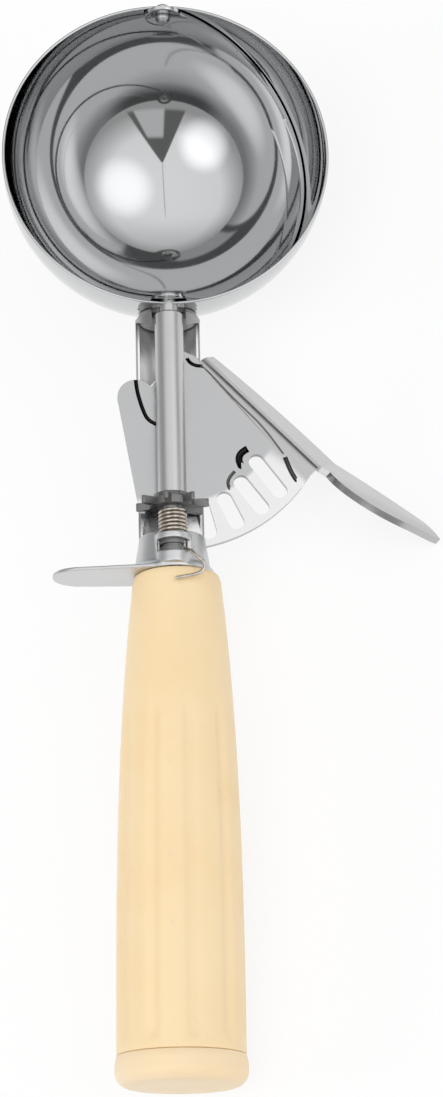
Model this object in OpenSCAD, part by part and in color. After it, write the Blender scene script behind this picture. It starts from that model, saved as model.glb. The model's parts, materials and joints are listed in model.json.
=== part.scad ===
// Lever ice cream scoop: bowl with a geared scraper blade, thumb lever and plastic handle.
// Each piece is drawn in the tool's own frame: origin at the bowl's centre, x towards the lever,
// y along the spindle with the handle at -y, z towards the bowl's opening. Distances named "at"
// run from the bowl's centre towards the butt. place() then lays the tool on a table.

/* [Bowl] */
// Outer radius of the bowl
bowl_r = 35; // [32:0.5:38]
// Thickness of the bowl's sheet
bowl_wall = 0.6; // [0.5:0.1:1]
// Height of the rim over the spindle's line
rim_rise = 2; // [1:0.5:3]

/* [Scraper blade] */
// Width of the blade strip
blade_w = 6; // [4:0.5:8]
// Thickness of the blade strip
blade_t = 0.7; // [0.5:0.1:1]
// Gap between the blade and the bowl
blade_gap = 0.3; // [0.2:0.1:0.5]
// Angle of the blade below the rim at rest
blade_rest = 30; // [20:1:35]
// Radius of the eyes at the blade's ends
eye_r = 4; // [3.5:0.25:5]

/* [Blade rivet and washer] */
// Radius of the rivet at the bowl's far end
tip_rivet_r = 1; // [0.8:0.1:1.3]
// Radius of that rivet's heads
tip_head_r = 1.6; // [1.6:0.1:2.2]
// Height of the rivet's inner head
tip_inner_h = 1.5; // [0.8:0.1:2]
// Height of the rivet's outer head
tip_outer_h = 1; // [0.6:0.1:1.4]
// Radius of the washer at the driven end
drive_washer_r = 2.7; // [2.4:0.1:3.2]
// Thickness of that washer
drive_washer_t = 0.4; // [0.3:0.1:0.6]

/* [Spindle] */
// Radius of the spindle's body
spindle_r = 3; // [2.6:0.1:3.2]
// Radius of the neck in the bowl
neck_r = 2; // [1.8:0.1:2.2]
// Side of the square that drives the blade
square_w = 2.6; // [2.2:0.1:2.8]
// Radius of the lower journal
journal_r = 1.9; // [1.6:0.1:2]
// Height of the peened end inside the bowl
peen_h = 0.7; // [0.5:0.1:1]

/* [Lever and pinion] */
// Distance from the bowl's centre to the lever's pivot
pivot_at = 52.7; // [51:0.1:55]
// Depth of the lever plate's front face under the spindle's line
plate_deep = 4.9; // [4.7:0.1:5.1]
// Thickness of the lever's sheet
plate_t = 1.4; // [1:0.1:1.5]
// Radius of the sector's edge about the pivot
sector_r = 34.3; // [33.5:0.1:35]
// Distance from the pinion out to the sector's edge
sector_past = 8.1; // [7.6:0.1:8.6]
// Travel of the lever in degrees
lever_travel = 35; // [30:1:40]
// Outer radius of the pinion
pinion_r = 7.6; // [7.4:0.1:7.8]
// Thickness of the pinion
pinion_t = 1.6; // [1.2:0.1:2]
// Width of a pinion tooth at its root
tooth_w = 1.3; // [1.2:0.05:1.4]
// Width of a slot in the sector
slot_w = 3.3; // [3.1:0.1:3.5]
// Length of the turned flange with the thumb pad
flange_len = 62.5; // [58:0.5:66]
// Greatest depth of the flange under the turned edge
flange_deep = 10; // [8.5:0.5:12]
// Height of the pad's front edge over the turned edge
pad_front = 6; // [4.6:0.2:7]

/* [Shank and ferrule] */
// Outer radius of the shank's half tube
shank_r = 6.9; // [6.6:0.1:7.2]
// Thickness of the shank's sheet
shank_wall = 0.8; // [0.6:0.1:1]
// Depth of the handle's axis under the spindle's line
axis_deep = 5.5; // [5:0.1:6]
// Length of the tang inside the handle
tang_len = 55; // [40:1:70]
// Length of the ferrule down to the handle
ferrule_len = 8.2; // [7.5:0.1:9]
// Radius of the ferrule where it meets the handle
ferrule_r = 7.8; // [7.4:0.1:8.4]
// Reach of the side tongue from the spindle's line
tongue_reach = 24.8; // [20:0.2:30]
// Width of the side tongue
tongue_w = 14; // [10:0.5:16]

/* [Spring] */
// Diameter of the spring's wire
wire_d = 0.7; // [0.5:0.05:0.75]
// Number of turns
spring_turns = 4; // [3:1:4]

/* [Handle] */
// Length of the handle, cap left out
handle_len = 98.4; // [80:1:120]
// Radius of the handle at the ferrule
handle_top_r = 9; // [8.8:0.1:9.8]
// Radius of the handle at the butt
handle_butt_r = 12.85; // [12.5:0.05:14]
// Number of flutes round the handle
flute_count = 10; // [8:1:12]
// Depth of a flute
flute_deep = 0.35; // [0.2:0.05:0.5]
// Length of the cap at the butt
cap_len = 6; // [5.5:0.1:9]
// Lean of the handle towards the lever in degrees
handle_lean = 0.55; // [0:0.05:1]

/* [Hidden] */
$fn = 64;

running = 0.05;   // radial gap of a shaft that turns in its hole
clear = 0.3;      // gap between sheets that pass each other
over = 1;         // how far a cut runs past what it cuts
dome_shares = [[0, 1], [0.6, 1], [1, 0.5], [1, 0]];   // a rivet's head, as shares of its radius and height

// Bowl and blade
bowl_in = bowl_r - bowl_wall;
blade_out = bowl_in - blade_gap;
blade_in = blade_out - blade_t;
washer_in = sqrt(pow(blade_in, 2) - pow(drive_washer_r, 2)) - drive_washer_t;
peen_share = 0.72;               // radius of the peened end as a share of the square
peen_r = square_w * peen_share;

// Spindle, in distances from the bowl's centre
neck_gap = 1.5;                  // between the bowl and the spindle's shoulder
shoulder_at = bowl_r + neck_gap;
shoulder_cut = 0.4;              // chamfer of the shoulder
mesh_r = sector_r - sector_past;   // distance from the pivot to the pinion
pinion_at = pivot_at + mesh_r;
pinion_top = pinion_at - pinion_t / 2;
pinion_end = pinion_at + pinion_t / 2;
hub_wall = 0.9;
hub_r = spindle_r + hub_wall;
hub_h = 1.2;
hub_dot_r = 0.55;
hub_dot_turn = 24;

// Sector: slots a quarter of the pinion's tooth spacing apart
teeth = 8;
gear_ratio = 4;
slot_step = 360 / teeth / gear_ratio;
slot_phase = 3;                 // angle of the slot that is nearest the spindle at rest
slot_numbers = [-1:ceil(lever_travel / slot_step)];
slot_outwards = 5.1;             // reach of the slots past the pinion's line
slot_inwards = 0.4;
slot_out_r = mesh_r + slot_outwards;
slot_in_r = mesh_r - slot_inwards;
slot_short = 1.2;          // each slot past the third starts this much nearer the pivot
slot_lean = 12;                  // turn of the last slot about its own middle
tooth_taper = 0.4;
tip_w = tooth_w - tooth_taper;
tooth_foot = 1;                  // height of a tooth's straight foot
root_gap = 0.2;
root_r = plate_deep - root_gap;   // the plate passes just under the root circle

// Lever plate, in x and y from the pivot
plate_back = plate_deep + plate_t;
hub_plate_r = 4;
lobe_share = [-0.204, -0.015];   // shares of the sector's radius, as the two below
lobe_at = sector_r * lobe_share;
lobe_r = 3.9;
edge_low_x = -5.2;
fold_share = [0.187, 0.214];     // the corner where the flange starts
fold_at = sector_r * fold_share;
fold_turn = -46.2;                // direction of the fold
fold_past = 0.3;                // how far the turned edge runs past the sector's edge
fold_along = fold_at * [cos(fold_turn), sin(fold_turn)];
fold_len = sqrt(pow(fold_along, 2) - fold_at * fold_at + pow(sector_r, 2)) - fold_along + fold_past;
fold_r = 2.6;                   // outer radius of the turned edge
fold_angle = 58.6;                // how far the flange is turned back
fold_steps = 8;                 // flats that make the turned edge
seam = 0.05;                    // the turned edge stays this much inside the faces it joins
corner_shares = [[-0.07, 0.093], [0.096, 0.283], [0.184, 0.239]];
corner_points = [for (c = corner_shares) sector_r * c];
sector_over_share = 1.3;         // the sector's outline is drawn this far past its edge

// Flange and pad: x along the fold, y down from the turned edge. Two arcs bound them.
edge_h = 4.9;                   // depth of the flange at its start and at the pad's tip
back_half = flange_len / 2;
back_rise = flange_deep - edge_h;
back_r = (back_half * back_half + back_rise * back_rise) / (2 * back_rise);
back_mid = [back_half, flange_deep - back_r];
front_half = (flange_len - fold_len) / 2;
front_rise = pad_front + edge_h;
front_r = (front_half * front_half + front_rise * front_rise) / (2 * front_rise);
front_mid = [fold_len + front_half, front_r - pad_front];
pad_gap = 0.8;                  // between the plate and the pad's front edge

// Flange and pad seen edge-on
bend_start = 0.5;                // the first bend starts this far before the fold's end
straight_len = fold_len - bend_start;
pad_bend_r = 6;
pad_bend = 12;
tip_bend_r = 19;
tip_bend = 19;
tip_flat = 4;
pad_flat = flange_len - straight_len - pad_bend_r * sin(pad_bend) - tip_bend_r * sin(tip_bend);

// Lever rivet and boss
rivet_r = 1.6;
rivet_head_r = 3.15;
rivet_head_h = 1.4;
burr_r = 2.6;
burr_h = 1.1;
washer_r = 4.3;
boss_top_r = 4.7;
boss_foot_r = 5.7;
boss_deep = plate_back + clear;

// Shank
edge_deep = plate_back + clear;          // depth of the channel's front edges
shank_in = shank_r - shank_wall;
spring_room = 4.9;
mouth_at = pinion_end + spring_room;     // where the open channel ends and the ferrule starts
neck_low = 1.1;
conic_at = bowl_r + neck_low;            // lower edge of the neck at its sides
conic_h = 4;
neck_narrow = 2.4;
conic_top_r = shank_r - neck_narrow;
lip_slope = 25;                          // the neck's lower edge runs down towards the front
notch_gap = 0.6;
notch_r = spindle_r + notch_gap;

// Ferrule, tongue and barrel
seat_at = mouth_at + ferrule_len;        // where the ferrule sits on the handle
sheet = shank_wall;
barrel_r = 3.8;
bush_r = 2.9;
barrel_drop = 0.9;                       // these drops run from the ferrule's upper end
barrel_at = mouth_at + barrel_drop;
barrel_end = seat_at - sheet;
window_drop = 2.3;
window_at = mouth_at + window_drop;
window_h = 2.6;
window_left = 3.3;
window_right = 4.3;
window_deep = 1;
groove_drop = 3.2;
groove_at = mouth_at + groove_drop;
groove_h = 0.6;
groove_r = 2.4;
slit_gap = 0.6;
slit_end = pivot_at + sector_r + slit_gap;  // the sector's edge turns inside this slit
tongue_front = 2.1;                      // height of the tongue's front edge at the ferrule
tongue_tip_r = 5.9;
waist_drop = 1.4;
waist_at = mouth_at + waist_drop;
waist_grow = 0.2;
waist_r = shank_r + waist_grow;
flare_h = 1;
flare_w = 0.8;
flare_at = seat_at - sheet - flare_h;
bush_drop = 1.5;
bush_at = mouth_at + bush_drop;
bush_floor = sheet;
journal_end = seat_at - bush_floor - clear;

// Spring, about the spindle's line
spring_r = 2.65;
wire_r = wire_d / 2;
spring_top = pinion_end + clear + wire_r;
spring_low = bush_at - clear - wire_r;
spring_pitch = (spring_low - spring_top) / spring_turns;
leg_turn = 60;                           // side where the leg leaves, from the front
leg_r = 2.5;
rings_per_turn = 8;
wire_sides = 6;
hook_z = 4.7;                            // height of the hook over the spindle's line
wire_turn = 10;                          // the leg crosses the barrel's edge this far round

// Handle
handle_at = seat_at;
top_round = 1;
swell = 2.8;                             // how early the handle reaches its full width
handle_steps = 14;
flute_at = 30.5;                         // start and end of the flutes down the handle
flute_stop = 2.4;
flute_end = handle_len - flute_stop;
flute_share = 0.27;                      // share of the flute spacing that is cut
tang_r = shank_in;
tang_end = seat_at + tang_len;
plug_len = 8;
plug_r = 9.5;
cap_lip = 0.35;
cap_r = handle_butt_r + cap_lip;
cap_swell_h = 1.5;                       // height over which the cap widens
butt_flat_r = 7;
cap_at = handle_at + handle_len;
butt_at = cap_at + cap_len;
cap_round = 2.9;
handle_side = 0.85;                      // offset of the handle's axis at the ferrule

// Flange and pad seen edge-on: [length, turn] steps along the sheet, then [point, heading]
pad_steps = concat([[straight_len, 0]],
    [for (i = [1:6]) [pad_bend_r * pad_bend * PI / 180 / 6, pad_bend / 6]],
    [[pad_flat, 0]],
    [for (i = [1:4]) [tip_bend_r * tip_bend * PI / 180 / 4, -tip_bend / 4]],
    [[tip_flat, 0]]);
function walk(steps, i = 0, p = [0, 0], a = 0) = i == len(steps) ? [[p, a]] :
    concat([[p, a]], walk(steps, i + 1, p + steps[i][0] * [cos(a), sin(a)], a + steps[i][1]));
pad_path = walk(pad_steps);
sheet_back = [for (s = pad_path) s[0]];
sheet_front = [for (s = pad_path) s[0] + plate_t * [-sin(s[1]), cos(s[1])]];

// Points of the pad's lower edge in the tool's frame, on both faces of its sheet
function pad_edge_h(x) = back_mid[1] + sqrt(back_r * back_r - pow(x - back_mid[0], 2));
function from_fold(x, h, m) =
    let (n = h * cos(fold_angle) + m * sin(fold_angle), z = m * cos(fold_angle) - h * sin(fold_angle))
    [fold_at[0] + x * cos(fold_turn) - n * sin(fold_turn),
     fold_at[1] - pivot_at + x * sin(fold_turn) + n * cos(fold_turn), z - plate_deep - fold_r];
pad_edge = [for (i = [0:60], face = [sheet_back, sheet_front])
    let (x = flange_len * i / 60)
    from_fold(x, pad_edge_h(x), lookup(x, face) + fold_r - plate_t)];

// How the tool lies: on the bowl's back and the cap's edge, rolled over by the lever's weight
// until the thumb pad stops it or the weight is balanced.
balance_roll = 22.4;
rim_arc_x = handle_side - (butt_at - cap_round - seat_at) * sin(handle_lean);
rim_arc_at = seat_at + (butt_at - cap_round - seat_at) * cos(handle_lean);
rim_arc_r = cap_r - cap_round;
function tilt_at(roll) = let (low = axis_deep * cos(roll) + rim_arc_x * sin(roll) + rim_arc_r)
    asin((bowl_r - cap_round) / norm([rim_arc_at, low])) - atan2(low, rim_arc_at);
function roll_at(tilt) = min([for (p = pad_edge)
    asin(min(1, (bowl_r + p[1] * sin(tilt)) / cos(tilt) / norm([p[0], p[2]]))) - atan2(-p[2], p[0])]);
rest_roll = min(balance_roll, roll_at(tilt_at(roll_at(tilt_at(0)))));
rest_tilt = tilt_at(rest_roll);

// Centre of the laid tool's outer box
far_y = (bowl_r + tip_outer_h) * cos(rest_tilt) + tip_head_r * dome_shares[1][0] * sin(rest_tilt);
near_y = -rim_arc_at * cos(rest_tilt) - cap_round
         + (axis_deep * cos(rest_roll) + rim_arc_x * sin(rest_roll) - rim_arc_r) * sin(rest_tilt);
far_x = max([for (p = pad_edge) p[0] * cos(rest_roll) + p[2] * sin(rest_roll)]);
near_x = -bowl_r;
shift = [-(far_x + near_x) / 2, -(far_y + near_y) / 2, bowl_r];
echo(rest_roll = rest_roll, rest_tilt = rest_tilt, shift = shift);

module place() {
    translate(shift) rotate([rest_tilt, 0, 0]) rotate([0, rest_roll, 0]) children();
}

// A rod along the spindle's line between two distances
module rod(from, to, r) {
    translate([0, -to, 0]) rotate([-90, 0, 0]) cylinder(h = to - from, r = r);
}

// A shape turned about the spindle's line; its outline is [radius, distance]
module turned(angle = 360) {
    rotate([90, 0, 0]) rotate_extrude(angle = angle) children();
}

// Moves what is drawn about the spindle's line to the handle's axis
module on_axis() {
    translate([0, 0, -axis_deep]) children();
}

// The handle's own axis, a little to the side of the ferrule's and leaning
module on_grip() {
    translate([handle_side, -seat_at, -axis_deep]) rotate([0, 0, -handle_lean])
        translate([0, seat_at, 0]) children();
}

// Outline of a rivet's head, from its middle out to its rim at a distance
function dome(r, rim_at, h) = [for (s = dome_shares) [r * s[0], rim_at + h * s[1]]];
function flipped(p) = [for (i = [len(p) - 1:-1:0]) p[i]];

// A box that spans x, distance and z
module span(x0, x1, from, to, z0, z1) {
    translate([x0, -to, z0]) cube([x1 - x0, to - from, z1 - z0]);
}

module bowl() {
    color([0.86, 0.87, 0.88]) place() difference() {
        sphere(r = bowl_r, $fn = 128);
        sphere(r = bowl_in, $fn = 128);
        translate([-bowl_r - over, -bowl_r - over, rim_rise])
            cube([2 * (bowl_r + over), 2 * (bowl_r + over), bowl_r]);
        rod(-bowl_r - over, 0, tip_rivet_r);
        rod(0, bowl_r + over, neck_r + running);
    }
}

module scraper_blade() {
    color([0.84, 0.85, 0.86]) place() rotate([0, blade_rest, 0]) difference() {
        intersection() {
            difference() {
                sphere(r = blade_out, $fn = 128);
                sphere(r = blade_in, $fn = 128);
            }
            union() {
                translate([0, -blade_out - over, -blade_w / 2])
                    cube([blade_out + over, 2 * (blade_out + over), blade_w]);
                rod(-blade_out - over, blade_out + over, eye_r);
            }
        }
        rod(-blade_out - over, 0, tip_rivet_r + running);
        span(-square_w / 2, square_w / 2, 0, blade_out + over, -square_w / 2, square_w / 2);
    }
}

module blade_tip_rivet() {
    inner = blade_in - running;
    color([0.8, 0.81, 0.82]) place() rotate([0, 0, 180]) turned() polygon(concat(
        dome(tip_head_r, inner, -tip_inner_h), [[tip_rivet_r, inner], [tip_rivet_r, bowl_r]],
        flipped(dome(tip_head_r, bowl_r, tip_outer_h))
    ));
}

module spindle() {
    color([0.72, 0.73, 0.74]) place() union() {
        turned() polygon([
            [0, blade_out], [neck_r, blade_out], [neck_r, shoulder_at],
            [spindle_r - shoulder_cut, shoulder_at], [spindle_r, shoulder_at + shoulder_cut],
            [spindle_r, pinion_end], [journal_r, pinion_end], [journal_r, journal_end],
            [0, journal_end]
        ]);
        rotate([0, blade_rest, 0])
            span(-square_w / 2, square_w / 2, washer_in - peen_h / 2, blade_out + over,
                 -square_w / 2, square_w / 2);
        turned() polygon(concat(dome(peen_r, washer_in, -peen_h), [[0, washer_in]]));
    }
}

module drive_washer() {
    color([0.78, 0.79, 0.8]) place() difference() {
        rod(washer_in, washer_in + drive_washer_t, drive_washer_r);
        rotate([0, blade_rest, 0])
            span(-square_w / 2, square_w / 2, 0, bowl_r, -square_w / 2, square_w / 2);
    }
}

// One pinion tooth, pointing up in its own plane
module tooth() {
    polygon([[-tooth_w / 2, 0], [tooth_w / 2, 0], [tooth_w / 2, root_r + tooth_foot],
             [tip_w / 2, pinion_r - tip_w / 2], [-tip_w / 2, pinion_r - tip_w / 2],
             [-tooth_w / 2, root_r + tooth_foot]]);
    translate([0, pinion_r - tip_w / 2]) circle(r = tip_w / 2);
}

module pinion() {
    first = 180 - slot_phase * gear_ratio;
    color([0.5, 0.51, 0.52]) place() difference() {
        union() {
            translate([0, -pinion_top, 0]) rotate([90, 0, 0]) linear_extrude(pinion_t) union() {
                circle(r = root_r);
                for (i = [0:teeth - 1]) rotate(-first + i * 360 / teeth) tooth();
            }
            rod(pinion_top - hub_h, pinion_top, hub_r);
            for (side = [-1, 1]) rotate([0, side * hub_dot_turn, 0])
                translate([0, -pinion_top + hub_h / 2, hub_r]) sphere(r = hub_dot_r);
        }
        rod(pinion_top - hub_h - over, pinion_end + over, spindle_r);
    }
}

// Spring: one path down the coil, through the bush's slit and round to the hook
function coil_point(t) = let (a = leg_turn + 360 * (spring_turns - t))
    [spring_r * sin(a), -(spring_top + spring_pitch * t), spring_r * cos(a)];
leg_low = window_at + window_h - wire_d;
// Shares of the ferrule's radius sideways and of the wire's thickness past the seat
hook_shares = [[0.6, -2.1], [0.77, -0.6], [0.79, 1.1], [0.72, 2.7], [0.56, 3.5], [0.32, 4.1], [0.02, 4.6]];
leg_points = concat([
    [leg_r * sin(leg_turn), -bush_at - wire_r, leg_r * cos(leg_turn)],
    [leg_r * sin(leg_turn), -leg_low + wire_d, leg_r * cos(leg_turn)],
    [leg_r * sin(leg_turn) + wire_r / 2, -leg_low + wire_r / 2, leg_r * cos(leg_turn) + wire_r],
    [barrel_r * sin(leg_turn - wire_turn), -leg_low, barrel_r * cos(leg_turn - wire_turn)],
    [barrel_r, -leg_low - wire_d, hook_z - wire_r]],
    [for (h = hook_shares) [ferrule_r * h[0], -seat_at - wire_d * h[1], hook_z]]);
coil_steps = spring_turns * rings_per_turn;
spring_points = concat([for (i = [0:coil_steps]) coil_point(i / rings_per_turn)], leg_points);

// Rings of a tube along a path, each frame carried on from the last one
function unit(v) = v / norm(v);
function along(p, i) = unit(p[min(i + 1, len(p) - 1)] - p[max(i - 1, 0)]);
function frames(p, i = 0, n = [0, 1, 0], out = []) = i == len(p) ? out :
    let (t = along(p, i), m = unit(n - t * (n * t))) frames(p, i + 1, m, concat(out, [m]));
function ring(p, i, n, r, sides) = let (t = along(p, i), b = cross(t, n))
    [for (k = [0:sides - 1]) p[i] + r * (n * cos(360 * k / sides) + b * sin(360 * k / sides))];

module tube(p, r, sides) {
    n = frames(p);
    last = len(p) - 1;
    points = concat([for (i = [0:last]) each ring(p, i, n[i], r, sides)], [p[0], p[last]]);
    walls = [for (i = [0:last - 1], k = [0:sides - 1])
        let (a = i * sides + k, b = i * sides + (k + 1) % sides)
        each [[a, a + sides, b + sides], [a, b + sides, b]]];
    ends = [for (k = [0:sides - 1]) each [
        [k, (k + 1) % sides, len(points) - 2],
        [last * sides + (k + 1) % sides, last * sides + k, len(points) - 1]]];
    polyhedron(points, concat(walls, ends), convexity = 10);
}

// Least gap between stretches of the spring that aren't neighbours, measured on its path
function spring_gap() = min([for (i = [0:len(spring_points) - 1], j = [i + 5:1:len(spring_points) - 1])
    norm(spring_points[i] - spring_points[j])]) - wire_d;
echo(spring_least_gap = spring_gap(), spring_pitch_gap = spring_pitch - wire_d);

module torsion_spring() {
    color([0.72, 0.66, 0.58]) place() tube(spring_points, wire_r, wire_sides);
}

module spindle_bush() {
    color([0.66, 0.66, 0.66]) place() difference() {
        rod(bush_at, seat_at, bush_r);
        rod(bush_at - over, journal_end + clear, journal_r + running);
        turned() translate([groove_r, groove_at]) square([bush_r, groove_h]);
        rotate([0, leg_turn, 0])
            span(-wire_d / 2 - running, wire_d / 2 + running, bush_at - over, leg_low + wire_d,
                 0, bush_r + over);
    }
}

// A half tube with its front cut away
module channel(from, to, r) {
    difference() {
        on_axis() rod(from, to, r);
        on_axis() rod(from - over, to + over, r - shank_wall);
        span(-r - over, r + over, from - over, to + over, -edge_deep, r + over);
    }
}

// The conical neck that is brazed to the bowl's back
module neck() {
    difference() {
        on_axis() turned() polygon([
            [shank_r, conic_at + shank_r], [shank_r, conic_at], [conic_top_r, conic_at - conic_h],
            [conic_top_r - shank_wall, conic_at - conic_h], [shank_in, conic_at],
            [shank_in, conic_at + shank_r]
        ]);
        translate([0, -conic_at, -axis_deep]) rotate([lip_slope, 0, 0])
            translate([-bowl_r, -bowl_r, -bowl_r]) cube([2 * bowl_r, bowl_r, 2 * bowl_r]);
        sphere(r = bowl_r, $fn = 128);
        rod(bowl_r / 2, pivot_at, notch_r);
        span(-notch_r, notch_r, bowl_r / 2, pivot_at, 0, shank_r);
    }
}

// The pressed boss under the lever's pivot, drawn from the back
module boss(grow, top) {
    translate([0, -pivot_at, 0]) rotate([180, 0, 0]) translate([0, 0, top])
        cylinder(h = axis_deep + shank_r - top - grow, r1 = boss_top_r + grow, r2 = boss_foot_r + grow);
}

module shank() {
    step_h = shank_wall;
    color([0.82, 0.83, 0.84]) place() difference() {
        union() {
            channel(conic_at - over, mouth_at, shank_r);
            neck();
            channel(mouth_at - step_h, tang_end, tang_r);
            difference() {
                on_axis() rod(mouth_at - step_h, mouth_at, shank_r);
                on_axis() rod(mouth_at - 2 * step_h, mouth_at + over, tang_r - shank_wall);
                span(-shank_r - over, shank_r + over, mouth_at - 2 * step_h, mouth_at + over,
                     -edge_deep, shank_r);
            }
            intersection() {
                boss(0, boss_deep);
                on_axis() rod(0, mouth_at, shank_r - shank_wall / 2);
            }
        }
        boss(-shank_wall, boss_deep + shank_wall);
        translate([0, -pivot_at, -axis_deep - shank_r]) cylinder(h = 2 * shank_r, r = rivet_r);
        sphere(r = bowl_r, $fn = 128);
    }
}

module ferrule() {
    tongue_back = tongue_front - tongue_w;
    tongue_tip_x = tongue_tip_r - tongue_reach;
    color([0.8, 0.81, 0.82]) place() difference() {
        union() {
            on_axis() turned() polygon([
                [tang_r, mouth_at], [shank_r, mouth_at], [waist_r, waist_at],
                [ferrule_r, flare_at], [ferrule_r + flare_w, seat_at - sheet],
                [ferrule_r + flare_w, seat_at], [tang_r, seat_at]
            ]);
            rod(barrel_at, barrel_end, barrel_r);
            translate([0, -seat_at + sheet, 0]) rotate([90, 0, 0]) linear_extrude(sheet) union() {
                translate([tongue_tip_x, tongue_back + tongue_tip_r]) circle(r = tongue_tip_r);
                polygon([[tongue_tip_x, tongue_back], [-ferrule_r / 2, tongue_back],
                         [-ferrule_r / 2, tongue_front], [tongue_tip_x, tongue_back + 2 * tongue_tip_r]]);
            }
        }
        on_axis() turned() polygon([
            [0, mouth_at - over], [tang_r, mouth_at - over], [tang_r, mouth_at],
            [waist_r - sheet, waist_at], [ferrule_r - sheet, flare_at],
            [ferrule_r - sheet, seat_at + over], [0, seat_at + over]
        ]);
        rod(barrel_at - over, seat_at + over, bush_r);
        span(-window_left, window_right, window_at, window_at + window_h, window_deep, ferrule_r);
        span(-ferrule_r - over, ferrule_r + over, mouth_at - over, slit_end,
             -plate_back - clear, -plate_deep + clear);
    }
}

// Outline of the flange and the pad
module flange_outline() {
    intersection() {
        translate(back_mid) circle(r = back_r, $fn = 256);
        union() {
            square([flange_len - front_half, 2 * flange_deep]);
            intersection() {
                translate(front_mid) circle(r = front_r, $fn = 128);
                translate([fold_len + pad_gap, -flange_deep]) square([flange_len, 3 * flange_deep]);
            }
        }
    }
}

// The centre line of the turned edge: x along the fold, y away from the plate
module at_fold() {
    translate([fold_at[0], fold_at[1] - pivot_at, -plate_deep - fold_r]) rotate(fold_turn) children();
}

module thumb_lever() {
    far = 2 * sector_r;
    color([0.83, 0.84, 0.85]) place() difference() {
        union() {
            translate([0, -pivot_at, -plate_back]) linear_extrude(plate_t) union() {
                intersection() {
                    circle(r = sector_r, $fn = 128);
                    polygon([lobe_at - [lobe_r, 0], [edge_low_x, -sector_r], [far, -far],
                             fold_at + fold_len * sector_over_share * [cos(fold_turn), sin(fold_turn)],
                             fold_at, [0, 0], lobe_at]);
                }
                translate(lobe_at) circle(r = lobe_r);
                circle(r = hub_plate_r);
                polygon(concat([[0, 0]], corner_points, [fold_at]));
            }
            at_fold() translate([seam, 0, 0]) rotate([90, 0, 90])
                linear_extrude(fold_len - 2 * seam) fold_section();
            at_fold() rotate([-fold_angle, 0, 0]) translate([0, 0, fold_r - plate_t]) pad_sheet();
        }
        translate([0, -pivot_at, -plate_back - over])
            cylinder(h = plate_t + 2 * over, r = rivet_r + running);
        for (k = slot_numbers) slot(k);
    }
}

// The turned edge seen along the fold, with tongues that lie in the plate and in the flange
module fold_section() {
    outer = fold_r - seam;
    inner = fold_r - plate_t + seam;
    turns = [for (i = [1:fold_steps]) fold_angle * i / fold_steps];
    down = fold_r / 2 * [cos(fold_angle), -sin(fold_angle)];
    foot = [sin(fold_angle), cos(fold_angle)];
    polygon(concat([[-fold_r / 2, outer]], [for (a = turns) outer * [sin(a), cos(a)]],
        [outer * foot + down, inner * foot + down],
        flipped([for (a = turns) inner * [sin(a), cos(a)]]),
        [[-fold_r / 2, inner]]));
}

// The flange and pad: x along the fold, y down the flange, z through the sheet
module pad_sheet() {
    intersection() {
        linear_extrude(flange_len, center = true) flange_outline();
        translate([0, flange_len, 0]) rotate([90, 0, 0]) linear_extrude(2 * flange_len)
            polygon(concat(sheet_back, [for (i = [len(sheet_front) - 1:-1:0]) sheet_front[i]]));
    }
}

// One slot of the sector, counted from the one nearest the spindle
module slot(k) {
    in_r = slot_in_r - max(0, k - 2) * slot_short;
    lean = k == max([for (n = slot_numbers) n]) ? -slot_lean : 0;
    mid_r = (slot_out_r + in_r) / 2;
    translate([0, -pivot_at, -plate_back - over]) rotate(slot_phase + k * slot_step)
        translate([0, -mid_r, 0]) rotate(lean) linear_extrude(plate_t + 2 * over) union() {
            for (side = [-1, 1]) translate([0, side * (mid_r - in_r)]) circle(r = slot_w / 2);
            square([slot_w, 2 * (mid_r - in_r)], center = true);
        }
}

module lever_rivet() {
    head = plate_deep - running;
    burr_at = boss_deep + shank_wall;
    color([0.85, 0.86, 0.87]) place() translate([0, -pivot_at, 0]) rotate([180, 0, 0])
        rotate_extrude() polygon(concat(
            dome(rivet_head_r, head, -rivet_head_h), [[rivet_r, head], [rivet_r, burr_at]],
            flipped(dome(burr_r, burr_at, burr_h))
        ));
}

module pivot_washer() {
    color([0.7, 0.71, 0.72]) place() translate([0, -pivot_at, -boss_deep]) difference() {
        cylinder(h = boss_deep - plate_back - running, r = washer_r);
        translate([0, 0, -over]) cylinder(h = boss_deep + over, r = rivet_r);
    }
}

// Radius of the handle at a share of its length
function grip_r(t) = handle_top_r + (handle_butt_r - handle_top_r) * (1 - pow(1 - t, swell));

module handle_body(shrink) {
    polygon(concat(
        [[0, handle_at], [handle_top_r - top_round - shrink, handle_at]],
        [for (a = [0:15:90]) [grip_r(0) - top_round * (1 - sin(a)) - shrink,
                              handle_at + top_round * (1 - cos(a))]],
        [for (i = [1:handle_steps]) [grip_r(i / handle_steps) - shrink,
                                     handle_at + handle_len * i / handle_steps]],
        [[0, cap_at]]
    ));
}

module flute_band() {
    difference() {
        translate([0, handle_at + flute_at]) square([handle_butt_r + over, flute_end - flute_at]);
        handle_body(flute_deep);
    }
}

module handle() {
    wide = flute_share * 360 / flute_count;
    color([0.98, 0.89, 0.72]) place() difference() {
        on_grip() turned() handle_body(0);
        for (i = [0:flute_count - 1]) on_grip() rotate([0, i * 360 / flute_count - wide / 2, 0])
            turned(wide) flute_band();
        channel(handle_at - over, tang_end, tang_r);
        on_grip() rod(cap_at - plug_len, cap_at + over, plug_r);
        span(-handle_butt_r, handle_butt_r, 0, seat_at, -2 * handle_butt_r, handle_butt_r);
    }
}

module handle_cap() {
    color([0.97, 0.9, 0.76]) place() on_grip() turned() polygon(concat(
        [[0, cap_at - plug_len], [plug_r, cap_at - plug_len], [plug_r, cap_at],
         [handle_butt_r, cap_at], [cap_r, cap_at + cap_swell_h]],
        [for (a = [0:15:75]) [cap_r - cap_round * (1 - cos(a)), butt_at - cap_round * (1 - sin(a))]],
        [[butt_flat_r, butt_at], [0, butt_at]]
    ));
}

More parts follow.
